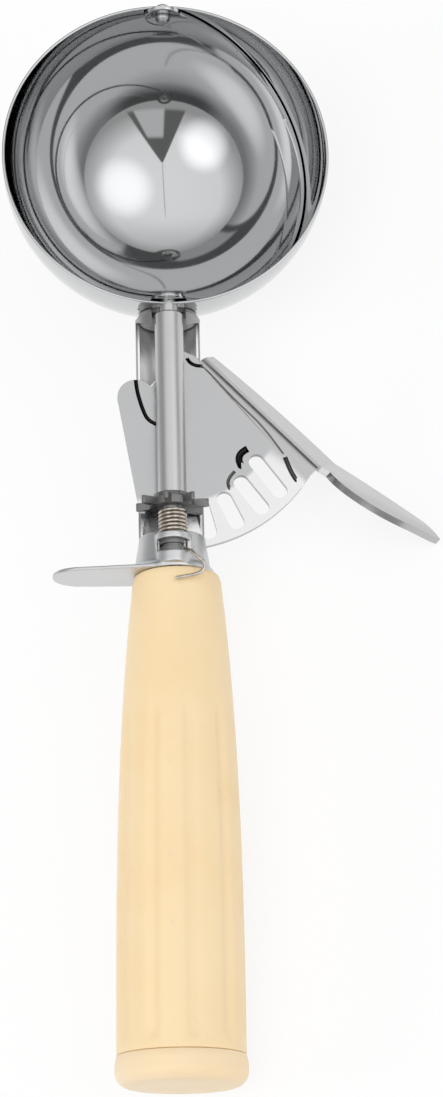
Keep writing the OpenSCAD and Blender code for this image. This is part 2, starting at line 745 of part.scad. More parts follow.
bowl();
scraper_blade();
blade_tip_rivet();
spindle();
drive_washer();
pinion();
torsion_spring();
spindle_bush();
shank();
ferrule();
thumb_lever();
lever_rivet();
pivot_washer();
handle();
handle_cap();
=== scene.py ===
import bpy
import json
import math
from mathutils import Matrix, Vector


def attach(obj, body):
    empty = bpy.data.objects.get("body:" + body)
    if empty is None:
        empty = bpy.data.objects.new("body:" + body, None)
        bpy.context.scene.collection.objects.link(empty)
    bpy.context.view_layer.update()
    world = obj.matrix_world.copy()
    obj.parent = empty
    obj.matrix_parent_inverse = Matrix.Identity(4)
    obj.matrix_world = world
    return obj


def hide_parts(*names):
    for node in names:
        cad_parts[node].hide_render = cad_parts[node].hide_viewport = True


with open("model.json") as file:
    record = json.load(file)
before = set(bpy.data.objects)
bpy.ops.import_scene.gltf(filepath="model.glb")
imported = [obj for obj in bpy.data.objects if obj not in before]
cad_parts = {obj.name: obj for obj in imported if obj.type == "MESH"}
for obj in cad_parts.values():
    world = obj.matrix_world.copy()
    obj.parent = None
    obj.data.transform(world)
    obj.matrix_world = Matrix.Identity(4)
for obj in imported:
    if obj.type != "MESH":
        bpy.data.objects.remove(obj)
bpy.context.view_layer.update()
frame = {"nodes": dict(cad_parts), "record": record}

print("Frame loaded:", len(frame["nodes"]), "nodes")

mm = 0.001

# The tool's own axes, from its joints: y along the spindle away from the handle, z towards the
# bowl's opening, x towards the lever. Pieces are modelled there in millimetres, then laid down.
# From the bowl's centre, the joints' points lie this far down the tool, and the axis of the shank
# and handle lies this much deeper than the spindle.
toolLayout = {"spindlePoint": 78.9, "leverPivot": 52.7, "axisDeep": 5.5}

joints = {j["name"]: j for j in frame["record"]["behaviour"]["joints"]}
spindleLine = joints["spindle_turn"]
toolY = Vector(spindleLine["axis"]).normalized()
toolZ = -Vector(joints["lever_press"]["axis"]).normalized()
toolX = toolY.cross(toolZ).normalized()
toolAxes = (toolX, toolY, toolZ)
bowlCentre = Vector(spindleLine["pos_m"]) + toolY * toolLayout["spindlePoint"] * mm
shankTop = bowlCentre - toolZ * toolLayout["axisDeep"] * mm   # on the shank's axis, under the bowl
toolPlace = Matrix.Translation(bowlCentre) @ Matrix(toolAxes).transposed().to_4x4()
toolMillimetres = toolPlace @ Matrix.Scale(mm, 4)
downTheHandle = Matrix.Rotation(math.radians(90), 4, "X")   # turned about z becomes turned about y


def deselectAll():
    if bpy.context.object and bpy.context.object.mode != "OBJECT":
        bpy.ops.object.mode_set(mode="OBJECT")
    bpy.ops.object.select_all(action="DESELECT")


def makeActive(piece):
    deselectAll()
    piece.select_set(True)
    bpy.context.view_layer.objects.active = piece


def editAll():
    bpy.ops.object.mode_set(mode="EDIT")
    bpy.ops.mesh.select_all(action="SELECT")


def leaveEdit():
    bpy.ops.object.mode_set(mode="OBJECT")


def applyModifier(piece, kind, **settings):
    makeActive(piece)
    modifier = piece.modifiers.new(kind.title(), kind)
    for key, value in settings.items():
        setattr(modifier, key, value)
    bpy.ops.object.modifier_apply(modifier=modifier.name)


def joinTo(piece, *others):
    makeActive(piece)
    for other in others:
        other.select_set(True)
    bpy.ops.object.join()


def tubeAlong(points, radius, alongSteps, roundSteps):
    # a round tube that follows a soft curve through the points
    deselectAll()
    bpy.ops.curve.primitive_nurbs_path_add(location=(0, 0, 0))
    tube = bpy.context.object
    spline = tube.data.splines[0]
    spline.points.add(len(points) - len(spline.points))
    for point, place in zip(spline.points, points):
        point.co = (*place, 1)
    spline.order_u = 3
    spline.use_endpoint_u = True
    spline.resolution_u = alongSteps
    tube.data.bevel_depth = radius
    tube.data.bevel_resolution = roundSteps
    tube.data.use_fill_caps = True
    makeActive(tube)
    bpy.ops.object.convert(target="MESH")
    return bpy.context.object


def layDown(piece, local=Matrix.Identity(4)):
    # millimetres in the tool's axes become metres where the tool lies, held in the mesh
    piece.data.transform(toolMillimetres @ local @ piece.matrix_world)
    piece.matrix_world = Matrix.Identity(4)


def finishPiece(piece, name, body, slotName, material, *nodes):
    deselectAll()
    piece.name = name
    piece.data.name = name
    piece.data.materials.clear()
    piece.data.materials.append(material)
    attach(piece, body)
    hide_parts(*nodes)
    print("Piece:", name, len(piece.data.polygons), "faces")


def linear(hexColour):
    # sRGB hex to linear colour
    channels = [int(hexColour[i:i + 2], 16) / 255 for i in (1, 3, 5)]
    return [c / 12.92 if c <= 0.04045 else ((c + 0.055) / 1.055) ** 2.4 for c in channels] + [1]


def addNode(tree, kind, inputs=None, stops=(), **settings):
    # one node with its settings; an input is a value, an output, or a node for its first output,
    # and the stops of a ramp are places with a hex colour or a grey value
    node = tree.nodes.new("ShaderNode" + kind)
    for key, value in settings.items():
        setattr(node, key, value)
    for key, value in (inputs or {}).items():
        if isinstance(value, bpy.types.Node):
            value = value.outputs[0]
        if isinstance(value, bpy.types.NodeSocket):
            tree.links.new(value, node.inputs[key])
        else:
            node.inputs[key].default_value = value
    for i, (place, colour) in enumerate(stops):
        elements = node.color_ramp.elements
        element = elements[i] if i < len(elements) else elements.new(place)
        element.position = place
        element.color = linear(colour) if isinstance(colour, str) else [colour] * 3 + [1]
    return node


def newMaterial(name, colour, metallic, roughness):
    material = bpy.data.materials.new(name)
    material.use_nodes = True
    shader = material.node_tree.nodes["Principled BSDF"]
    shader.inputs["Base Color"].default_value = linear(colour)
    shader.inputs["Metallic"].default_value = metallic
    shader.inputs["Roughness"].default_value = roughness
    return material, material.node_tree, shader


def paintOver(material, amount, hexColour):
    # the base colour turns to another one where the amount is 1
    tree = material.node_tree
    base = tree.nodes["Principled BSDF"].inputs["Base Color"]
    before = base.links[0].from_socket if base.is_linked else list(base.default_value)
    mixed = addNode(tree, "Mix", {0: amount, 6: before, 7: linear(hexColour)}, data_type="RGBA")
    tree.links.new(mixed.outputs[2], base)


def partsAlong(tree, offset, axes):
    # how far a place or a direction reaches along each of the axes
    parts = [addNode(tree, "VectorMath", {0: offset, 1: axis}, operation="DOT_PRODUCT")
             for axis in axes]
    return [part.outputs["Value"] for part in parts]


def placeFrom(tree, point, axes):
    # the same for a piece's surface, in millimetres from a point
    place = addNode(tree, "TexCoord").outputs["Object"]
    offset = addNode(tree, "VectorMath", {0: place, 1: point}, operation="SUBTRACT")
    return partsAlong(tree, offset, [axis / mm for axis in axes])


def farFromAxis(tree, x, y):
    flat = addNode(tree, "CombineXYZ", {"X": x, "Y": y})
    return addNode(tree, "VectorMath", {0: flat}, operation="LENGTH").outputs["Value"]


def maskOf(tree, *edges):
    # 1 where each value is past its soft edge, which runs from where it is 0 to where it is 1
    mask = None
    for value, nothing, full in edges:
        edge = addNode(tree, "MapRange", {"Value": value, "From Min": nothing, "From Max": full},
                       interpolation_type="SMOOTHSTEP")
        mask = addNode(tree, "Math", {0: mask, 1: edge}, operation="MULTIPLY") if mask else edge
    return mask.outputs[0]


steelLook = {
    # base colour, roughness from and to, grain in mm along and across the tool, bump in mm.
    # Tumbling marks are near 0.1 mm: the grain on sheet is drawn coarser, so that it shows.
    "polished": ("#C8C9CA", 0.03, 0.07, (0.5, 0.5), 0.0004),
    "drawn": ("#BBBCBD", 0.17, 0.27, (1.2, 0.6), 0.003),
    # the shank's near-white colour is painted light, standing in for light its shaded channel
    # lacks
    "pressed": ("#FCFCFC", 0.3, 0.4, (1.2, 0.6), 0.002),
    "cup": ("#D6D7D8", 0.36, 0.46, (1.2, 0.6), 0.003),
    "satin": ("#CACACA", 0.3, 0.38, (14.0, 0.2), 0.0008),
    "gear": ("#868687", 0.3, 0.55, (0.5, 0.5), 0.02),
}
steelClouds = {"size": 9.0, "spread": (0.7, 1.3), "bump": 0.35}


def steel(name, look):
    colour, smooth, rough, (along, across), bumpHeight = steelLook[look]
    material, tree, shader = newMaterial(name, colour, 1.0, (smooth + rough) / 2)
    place = addNode(tree, "TexCoord").outputs["Object"]
    turn = toolPlace.to_3x3().transposed().to_euler()
    # the grain runs along the tool's y; a mapping node turns and scales it to millimetres
    turned = addNode(tree, "Mapping", {"Vector": place, "Rotation": turn})
    scaled = addNode(tree, "Mapping", {
        "Vector": turned, "Scale": (1 / across / mm, 1 / along / mm, 1 / across / mm)})
    fine = addNode(tree, "TexNoise", {
        "Vector": scaled, "Scale": 1.0, "Detail": 4.0, "Roughness": 0.6}).outputs["Fac"]
    cloudy = addNode(tree, "TexNoise", {
        "Vector": place, "Scale": 1 / (steelClouds["size"] * mm), "Detail": 3.0,
        "Roughness": 0.55}).outputs["Fac"]
    both = addNode(tree, "Math", {0: fine, 1: cloudy}, operation="ADD")
    low, high = steelClouds["spread"]
    spread = addNode(tree, "MapRange", {
        "Value": both, "From Min": low, "From Max": high, "To Min": smooth, "To Max": rough})
    tree.links.new(spread.outputs["Result"], shader.inputs["Roughness"])
    bump = addNode(tree, "Bump", {
        "Height": fine, "Strength": steelClouds["bump"], "Distance": bumpHeight * mm})
    tree.links.new(bump.outputs["Normal"], shader.inputs["Normal"])
    return material


bandLook = {
    # mm from the lever's pivot, degrees from the handle's side; each pair is a soft edge
    # the band's colour is a painted highlight; the flange's and the creases' colours are painted
    # shade
    "bandHighlight": "#E2E2E2", "from": 24.3, "blur": (-0.6, 0.6), "turn": (62.0, 54.0), "slope": 2.5,
    "flange": "#BCBCBC", "flangeFrom": (7.6, 9.2), "flangeLean": 49.0, "crease": "#222222",
}


def addSlottedBand(material):
    # the sector's slotted band is pressed down a little and painted brighter, a painted highlight;
    # the turned flange is painted darker, and the creases of the pressing are painted dark:
    # painted shade
    tree = material.node_tree
    lean = math.radians(bandLook["flangeLean"])
    acrossFlange = toolX * math.sin(lean) + toolY * math.cos(lean)
    pivot = Vector(joints["lever_press"]["pos_m"])
    x, down, across = placeFrom(tree, pivot, (toolX, -toolY, acrossFlange))
    turn = addNode(tree, "Math", {0: x, 1: down}, operation="ARCTAN2")
    turned = (turn, *(math.radians(t) for t in bandLook["turn"]))
    into = addNode(tree, "Math", {0: farFromAxis(tree, x, down), 1: bandLook["from"]},
                   operation="SUBTRACT")
    # painted highlight on the slotted band
    paintOver(material, maskOf(tree, (into, *bandLook["blur"]), turned), bandLook["bandHighlight"])
    # painted shade on the turned flange
    paintOver(material, maskOf(tree, (across, *bandLook["flangeFrom"])), bandLook["flange"])
    # painted shade in the creases and on the blanked edge
    crease = addNode(tree, "Attribute", attribute_name="crease").outputs["Fac"]
    paintOver(material, crease, bandLook["crease"])

    drop = addNode(tree, "Math", {0: into, 1: 0.0}, operation="MAXIMUM")
    drop = addNode(tree, "Math", {0: drop, 1: maskOf(tree, turned)}, operation="MULTIPLY")
    fall = -math.tan(math.radians(bandLook["slope"])) * mm
    drop = addNode(tree, "Math", {0: drop, 1: fall}, operation="MULTIPLY")
    pressed = addNode(tree, "Bump", {"Height": drop, "Strength": 1.0, "Distance": 1.0})
    grain = tree.nodes["Principled BSDF"].inputs["Normal"].links[0].from_node
    tree.links.new(pressed.outputs["Normal"], grain.inputs["Normal"])
    return material


# mm from the shank's axis and up the tool, as soft edges; the outside's colour is a painted shade
shankLook = {"outside": "#A8A8A9", "outsideFrom": (6.4, 6.6), "neckFrom": (-36.7, -36.1)}


def addDarkOutside(material):
    # the channel's outside and its neck are painted darker than its inside, a painted shade
    tree = material.node_tree
    x, y, z = placeFrom(tree, shankTop, toolAxes)
    outside = maskOf(tree, (farFromAxis(tree, x, z), *shankLook["outsideFrom"]))
    neck = maskOf(tree, (y, *shankLook["neckFrom"]))
    either = addNode(tree, "Math", {0: outside, 1: neck}, operation="MAXIMUM")
    # painted shade on the outside and the neck
    paintOver(material, either, shankLook["outside"])
    return material


# mm from the shank's axis, as a soft edge, and from the bowl's centre; the colour is a painted
# shadow of the neck
dullSpot = {"colour": "#3E3E3F", "radius": (6.4, 6.0), "outsideFrom": 34.7}


def addDullSpot(material):
    # the bowl's outside is painted dark where the neck covers it: a painted shadow
    tree = material.node_tree
    x, y, z = placeFrom(tree, shankTop, toolAxes)
    height = placeFrom(tree, bowlCentre, [toolZ])[0]
    under = maskOf(tree, (farFromAxis(tree, x, z), *dullSpot["radius"]))
    lower = addNode(tree, "Math", {0: y, 1: 0.0}, operation="LESS_THAN")
    fromCentre = farFromAxis(tree, farFromAxis(tree, x, y), height)
    outer = addNode(tree, "Math", {0: fromCentre, 1: dullSpot["outsideFrom"]},
                    operation="GREATER_THAN")
    amount = addNode(tree, "Math", {0: under, 1: lower}, operation="MULTIPLY")
    amount = addNode(tree, "Math", {0: amount, 1: outer}, operation="MULTIPLY")
    # painted shadow under the neck
    paintOver(material, amount, dullSpot["colour"])
    return material


# Stainless 304 sheet, pressed and mirror polished: clear reflections, faint haze
polishedSteel = steel("polishedStainless", "polished")
# The bowl has the same polish, with a painted shadow on the spot that the neck covers
bowlSteel = addDullSpot(steel("bowlStainless", "polished"))
# Stainless rod, headed cold and tumbled: reflections with soft edges
drawnSteel = steel("tumbledStainless", "drawn")
# The ferrule is drawn from thick sheet and tumbled to a soft grey
cupSteel = steel("ferruleStainless", "cup")
# The shank's channel is drawn deeper and keeps a softer surface inside; its near-white colour is
# painted light that lifts the shaded channel
shankSteel = addDarkOutside(steel("shankStainless", "pressed"))
# The lever is blanked and bent from stainless sheet, then tumbled: soft-edged reflections, with
# a painted highlight on the slotted band and painted shade on the flange and in the creases
leverSteel = addSlottedBand(steel("leverStainless", "drawn"))
# Turned stainless rod with a fine satin grain along the tool
satinSteel = steel("satinStainless", "satin")
# Sintered or stamped gear steel, tumbled dark, rougher than the sheet
gearSteel = steel("gearSteel", "gear")

# Hard-drawn spring wire: the drawing film leaves it a pale, slightly warm and patchy grey
wireLook = {"base": "#D2CBC2", "dark": "#BDB1A4", "light": "#E0DAD2", "patch": 0.8, "rough": 0.28}
springWire, wireTree, wireShader = newMaterial("springWire", wireLook["base"], 1.0,
                                               wireLook["rough"])
wireNoise = addNode(wireTree, "TexNoise", {
    "Vector": addNode(wireTree, "TexCoord").outputs["Object"],
    "Scale": 1 / (wireLook["patch"] * mm), "Detail": 3.0}).outputs["Fac"]
wireColour = addNode(wireTree, "ValToRGB", {"Fac": wireNoise},
                     [(0.3, wireLook["dark"]), (0.7, wireLook["light"])])
wireTree.links.new(wireColour.outputs["Color"], wireShader.inputs["Base Color"])

plasticLook = {
    # sizes in mm; moulding grain is nearer 0.05 mm and is drawn coarser, so that it shows
    "ior": 1.49, "rough": 0.38, "glossFrom": 0.32, "glossTo": 0.46,
    "mottle": 14.0, "smudge": 5.0, "smudgeColour": "#CFC3AE", "smudgeMost": 0.35,
    "grain": 0.35, "grainDeep": 0.01, "under": 0.06, "underReach": (1.2, 0.8, 0.5),
}


def ivory(name, warm, pale):
    # Moulded polypropylene: soft gloss, slight mottle from the pigment, faint grey smudges of use
    material, tree, shader = newMaterial(name, warm, 0.0, plasticLook["rough"])
    shader.inputs["IOR"].default_value = plasticLook["ior"]
    shader.inputs["Subsurface Weight"].default_value = plasticLook["under"]
    shader.inputs["Subsurface Radius"].default_value = [r * mm for r in plasticLook["underReach"]]
    shader.inputs["Subsurface Scale"].default_value = 1.0
    place = addNode(tree, "TexCoord").outputs["Object"]
    mottle = addNode(tree, "TexNoise", {
        "Vector": place, "Scale": 1 / (plasticLook["mottle"] * mm), "Detail": 5.0,
        "Roughness": 0.6}).outputs["Fac"]
    smudge = addNode(tree, "TexNoise", {
        "Vector": place, "Scale": 1 / (plasticLook["smudge"] * mm), "Detail": 8.0,
        "Roughness": 0.7}).outputs["Fac"]
    base = addNode(tree, "ValToRGB", {"Fac": mottle}, [(0.3, warm), (0.7, pale)])
    tree.links.new(base.outputs["Color"], shader.inputs["Base Color"])
    smudges = addNode(tree, "ValToRGB", {"Fac": smudge},
                      [(0.62, 0.0), (0.82, plasticLook["smudgeMost"])])
    paintOver(material, smudges, plasticLook["smudgeColour"])
    gloss = addNode(tree, "MapRange", {
        "Value": smudge, "From Min": 0.3, "From Max": 0.7,
        "To Min": plasticLook["glossFrom"], "To Max": plasticLook["glossTo"]})
    tree.links.new(gloss.outputs["Result"], shader.inputs["Roughness"])
    grain = addNode(tree, "TexNoise", {
        "Vector": place, "Scale": 1 / (plasticLook["grain"] * mm), "Detail": 2.0}).outputs["Fac"]
    bump = addNode(tree, "Bump", {
        "Height": grain, "Strength": 0.25, "Distance": plasticLook["grainDeep"] * mm})
    tree.links.new(bump.outputs["Normal"], shader.inputs["Normal"])
    return material


handlePlastic = ivory("ivoryPolypropylene", "#FADDAE", "#FCE3B8")
capPlastic = ivory("ivoryCapPlastic", "#FADFB5", "#FBE4BF")
print("Materials made")

# The bowl is a ball cut off above its middle, given its sheet and a rounded rim
bowlShape = {"radius": 35.0, "wall": 0.6, "rimRise": 2.0, "rimRound": 0.22, "rimSteps": 3,
             "rimAngle": 40, "segments": 256, "rings": 128}

deselectAll()
bpy.ops.mesh.primitive_uv_sphere_add(segments=bowlShape["segments"], ring_count=bowlShape["rings"],
                                     radius=bowlShape["radius"], location=(0, 0, 0))
bowl = bpy.context.object
editAll()
bpy.ops.mesh.bisect(plane_co=(0, 0, bowlShape["rimRise"]), plane_no=(0, 0, 1), clear_outer=True)
leaveEdit()
applyModifier(bowl, "SOLIDIFY", thickness=bowlShape["wall"], offset=-1, use_even_offset=True)
applyModifier(bowl, "BEVEL", width=bowlShape["rimRound"], segments=bowlShape["rimSteps"],
              limit_method="ANGLE", angle_limit=math.radians(bowlShape["rimAngle"]))
makeActive(bowl)
bpy.ops.object.shade_smooth()
layDown(bowl)
finishPiece(bowl, "bowlShell", "frame", "polished_steel", bowlSteel, "bowl")

# The scraper blade is a strip of a ball inside the bowl, with a round eye at each end
bladeShape = {"outer": 34.1, "thickness": 0.7, "width": 6.0, "eye": 4.0, "belowRim": 30.0,
              "edge": 0.28, "edgeSteps": 4, "edgeAngle": 50, "smoothAngle": 35,
              "segments": 192, "rings": 80}

halfWidth = bladeShape["width"] / 2
deselectAll()
bpy.ops.mesh.primitive_uv_sphere_add(
    segments=bladeShape["segments"], ring_count=bladeShape["rings"],
    radius=bladeShape["outer"] - bladeShape["thickness"] / 2,
    location=(0, 0, 0), rotation=(math.radians(90), 0, 0))
blade = bpy.context.object
bpy.ops.object.transform_apply(location=False, rotation=True, scale=False)
bpy.ops.object.mode_set(mode="EDIT")
for place, normal in (((0, 0, halfWidth), (0, 0, 1)), ((0, 0, -halfWidth), (0, 0, 1)),
                      ((0, 0, 0), (1, 0, 0))):
    bpy.ops.mesh.select_all(action="SELECT")
    bpy.ops.mesh.bisect(plane_co=place, plane_no=normal)
bpy.ops.mesh.select_all(action="DESELECT")
bpy.ops.mesh.select_mode(type="FACE")
leaveEdit()
for face in blade.data.polygons:
    c = face.center
    inStrip = c.x > 0 and abs(c.z) < halfWidth
    inEye = math.hypot(c.x, c.z) < bladeShape["eye"]
    face.select = not (inStrip or inEye)
bpy.ops.object.mode_set(mode="EDIT")
bpy.ops.mesh.delete(type="FACE")
leaveEdit()
applyModifier(blade, "SOLIDIFY", thickness=bladeShape["thickness"], offset=0, use_even_offset=True)
applyModifier(blade, "BEVEL", width=bladeShape["edge"], segments=bladeShape["edgeSteps"],
              limit_method="ANGLE", angle_limit=math.radians(bladeShape["edgeAngle"]))
makeActive(blade)
bpy.ops.object.shade_smooth_by_angle(angle=math.radians(bladeShape["smoothAngle"]))
layDown(blade, Matrix.Rotation(math.radians(bladeShape["belowRim"]), 4, "Y"))
finishPiece(blade, "scraperStrip", "spindle", "polished_steel", polishedSteel, "scraper_blade")

# Pieces whose CAD shape is right get rounded edges and smooth curves on a merged copy
copyShape = {"merge": 0.002, "mergeCut": 0.001, "flatAngle": 0.6, "edgeSteps": 2,
             "sharpAngle": 28.0, "normalWeight": 60}


def smoothCopy(node, edge, groove=None):
    deselectAll()
    source = frame["nodes"][node]
    piece = bpy.data.objects.new(node + "Smooth", source.data.copy())
    bpy.context.scene.collection.objects.link(piece)
    makeActive(piece)
    if piece.data.has_custom_normals:
        bpy.ops.mesh.customdata_custom_splitnormals_clear()
    editAll()
    bpy.ops.mesh.remove_doubles(threshold=copyShape["merge"] * mm)
    bpy.ops.mesh.dissolve_limited(angle_limit=math.radians(copyShape["flatAngle"]))
    leaveEdit()
    sharp = math.radians(copyShape["sharpAngle"])
    if edge:
        applyModifier(piece, "BEVEL", width=edge * mm, segments=copyShape["edgeSteps"],
                      limit_method="ANGLE", angle_limit=sharp, use_clamp_overlap=True)
    if groove:
        applyModifier(piece, "BOOLEAN", operation="DIFFERENCE", solver="MANIFOLD", object=groove)
        editAll()
        bpy.ops.mesh.remove_doubles(threshold=copyShape["mergeCut"] * mm)
        leaveEdit()
    makeActive(piece)
    bpy.ops.object.shade_smooth_by_angle(angle=sharp)
    applyModifier(piece, "WEIGHTED_NORMAL", keep_sharp=True, weight=copyShape["normalWeight"])
    return piece


# The creases of the lever's pressed panel, from the pivot in mm: points, half width, and the
# darkness of their painted shade
creases = [
    ([(-7.0, 3.3), (-6.8, 1.0), (-6.2, -1.4), (-5.5, -3.7), (-4.7, -5.5), (-3.1, -6.6),
      (-1.4, -7.3)], 0.42, 1.0),
    ([(3.9, 8.2), (4.3, 7.3), (5.6, 6.5), (7.1, 6.4)], 0.4, 1.0),
    ([(7.1, 6.4), (9.9, 3.3), (12.9, -0.2), (15.8, -3.3), (18.7, -6.3), (21.2, -9.6),
      (23.7, -13.4)], 0.2, 0.6),
    ([(24.0, -14.1), (24.6, -15.9), (25.3, -17.6), (26.2, -19.2)], 0.5, 0.9),
    ([(16.2, -12.2), (14.9, -12.9), (14.2, -14.4), (14.7, -16.0)], 0.75, 1.0),
    ([(13.4, -17.2), (12.3, -18.3), (11.8, -19.8), (12.2, -21.0)], 0.34, 0.8),
]
creaseShape = {
    # heights in mm from the spindle; a crease is a rod laid half into the plate's face, and the
    # painted shade reaches a little past its side
    "rodHeight": -4.9, "alongSteps": 6, "roundSteps": 2, "shortest": 5, "runOn": 0.1,
    "floor": (-5.65, -4.92), "past": 0.12,
    # the blanked edge gets painted shade half as dark, and the flange has none
    "edge": (-6.4, -4.91), "edgeTilt": 0.97, "edgeShade": 0.45,
    "towardsFlange": (0.755, 0.656), "flangeFrom": 7.5,
}


def creaseCutter():
    rods = []
    for points, width, _ in creases:
        path = [(x, y - toolLayout["leverPivot"], creaseShape["rodHeight"]) for x, y in points]
        while len(path) < creaseShape["shortest"]:   # a path curve starts with this many points
            x, y, z = path[-1]
            path.append((x + creaseShape["runOn"], y, z))
        rod = tubeAlong(path, width, creaseShape["alongSteps"], creaseShape["roundSteps"])
        layDown(rod)
        editAll()
        bpy.ops.mesh.remove_doubles(threshold=copyShape["merge"] * mm)
        bpy.ops.mesh.normals_make_consistent(inside=False)
        leaveEdit()
        rods.append(rod)
    joinTo(*rods)
    return rods[0]


def shadeCreases(piece):
    # the faces that lie in a crease or on the plate's blanked edge are marked with how dark a
    # painted shade they get
    marks = piece.data.attributes.new("crease", "FLOAT", "FACE")
    toTool = toolMillimetres.inverted()
    floorLow, floorHigh = creaseShape["floor"]
    edgeLow, edgeHigh = creaseShape["edge"]
    away = Vector(creaseShape["towardsFlange"])
    for face in piece.data.polygons:
        c = toTool @ face.center
        place = Vector((c.x, c.y + toolLayout["leverPivot"]))
        value = 0.0
        upright = abs(face.normal.dot(toolZ)) < creaseShape["edgeTilt"]
        if upright and edgeLow < c.z < edgeHigh and place.dot(away) < creaseShape["flangeFrom"]:
            value = creaseShape["edgeShade"]
        if floorLow < c.z < floorHigh:
            for points, width, darkness in creases:
                for a, b in zip(points, points[1:]):
                    a, b = Vector(a), Vector(b)
                    share = (place - a).dot(b - a) / (b - a).length_squared
                    nearest = a.lerp(b, max(0.0, min(1.0, share)))
                    if (place - nearest).length < width + creaseShape["past"]:
                        value = darkness
        marks.data[face.index].value = value


neckShape = {"from": 33.7, "to": 35.6, "fromRadius": 5.46, "toRadius": 6.6, "sheet": 0.7,
             "deeperThan": 1.5, "segments": 96, "smoothAngle": 30}


def closeNeck(shank):
    # the neck's cone runs on round its deep side until it meets the channel
    deselectAll()
    bpy.ops.mesh.primitive_cone_add(
        vertices=neckShape["segments"], radius1=neckShape["fromRadius"],
        radius2=neckShape["toRadius"], depth=neckShape["to"] - neckShape["from"],
        end_fill_type="NOTHING", location=(0, 0, (neckShape["from"] + neckShape["to"]) / 2))
    cone = bpy.context.object
    editAll()
    bpy.ops.mesh.bisect(plane_co=(0, -neckShape["deeperThan"], 0), plane_no=(0, 1, 0),
                        clear_outer=True)
    leaveEdit()
    applyModifier(cone, "SOLIDIFY", thickness=neckShape["sheet"], offset=-1, use_even_offset=True)
    makeActive(cone)
    bpy.ops.object.shade_smooth_by_angle(angle=math.radians(neckShape["smoothAngle"]))
    layDown(cone, Matrix.Translation((0, 0, -toolLayout["axisDeep"])) @ downTheHandle)
    joinTo(shank, cone)


smoothPieces = {
    # node: (new name, body, slot, material, edge rounding in mm)
    "thumb_lever": ("leverStamping", "lever", "polished_steel", leverSteel, 0.18),
    "shank": ("shankChannel", "frame", "polished_steel", shankSteel, 0.1),
    "spindle": ("spindleRod", "spindle", "satin_steel", satinSteel, 0.06),
    "pinion": ("starWheel", "spindle", "gear_steel", gearSteel, 0.28),
    "handle_cap": ("buttCap", "frame", "ivory_plastic", capPlastic, 0.15),
    "blade_tip_rivet": ("tipRivet", "frame", "satin_steel", satinSteel, 0.15),
    "lever_rivet": ("pivotRivet", "frame", "polished_steel", drawnSteel, 0.25),
    "drive_washer": ("eyeWasher", "spindle", "satin_steel", satinSteel, 0.06),
    "pivot_washer": ("flatWasher", "frame", "satin_steel", satinSteel, 0.0),
    "spindle_bush": ("slitBush", "frame", "satin_steel", gearSteel, 0.06),
}

for node, (name, body, slotName, material, edge) in smoothPieces.items():
    groove = creaseCutter() if node == "thumb_lever" else None
    piece = smoothCopy(node, edge, groove)
    if node == "shank":
        closeNeck(piece)
    finishPiece(piece, name, body, slotName, material, node)
    if groove:
        shadeCreases(piece)
        bpy.data.objects.remove(groove)

# The ferrule is drawn from one cup, so its barrel and tongue run into it with soft hollows
ferruleShape = {"voxel": 0.14, "soften": 14, "softenBy": 0.5, "facesKept": 0.5}

ferrule = smoothCopy("ferrule", 0)
applyModifier(ferrule, "REMESH", mode="VOXEL", voxel_size=ferruleShape["voxel"] * mm)
applyModifier(ferrule, "SMOOTH", factor=ferruleShape["softenBy"],
              iterations=ferruleShape["soften"])
applyModifier(ferrule, "DECIMATE", ratio=ferruleShape["facesKept"])
makeActive(ferrule)
bpy.ops.object.shade_smooth()
finishPiece(ferrule, "ferruleCup", "frame", "polished_steel", cupSteel, "ferrule")

# The handle is extruded ring by ring, its flutes are pressed in, and the cage is subdivided
handleShape = {
    "top": 92.8, "length": 98.4, "topRadius": 9.0, "buttRadius": 12.85, "swell": 2.8,
    "side": 0.85, "lean": 0.55, "segments": 80, "smooth": 2, "smoothAngle": 50,
    "flutes": 10, "firstFlute": 9.72, "fluteFrom": 31.0, "fluteTo": 95.0, "fluteDeep": 0.6,
    # the rounded ends: radius less by, and mm from the end
    "topEnd": [(1.0, 0.0), (0.3, 0.12)], "buttEnd": [(0.04, 0.12), (0.25, 0.0)],
    # the rings between them, in mm from the top
    "ringsAt": (3, 6, 10, 15, 20, 25, 29, 31, 33, 37, 43, 49, 55, 61, 67, 73, 79, 85,
                93, 95, 96.5, 97.5),
}


def gripRadius(share):
    grow = handleShape["buttRadius"] - handleShape["topRadius"]
    return handleShape["topRadius"] + grow * (1 - (1 - share) ** handleShape["swell"])


top, length = handleShape["top"], handleShape["length"]
rings = [(gripRadius(0) - less, at) for less, at in handleShape["topEnd"]]
rings += [(gripRadius(0.01), 1.0)]   # holds the rounding to the top's last millimetre
rings += [(gripRadius(at / length), at) for at in handleShape["ringsAt"]]
rings += [(gripRadius(1) - less, length - at) for less, at in handleShape["buttEnd"]]
deselectAll()
bpy.ops.mesh.primitive_circle_add(vertices=handleShape["segments"], radius=rings[0][0],
                                  location=(0, 0, top), fill_type="NGON")
handle = bpy.context.object
bpy.ops.object.transform_apply(location=True, rotation=False, scale=False)
editAll()
for (lastR, lastAt), (r, at) in zip(rings, rings[1:]):
    bpy.ops.mesh.extrude_region_move(TRANSFORM_OT_translate={"value": (0, 0, at - lastAt)})
    bpy.ops.transform.resize(value=(r / lastR, r / lastR, 1))
leaveEdit()
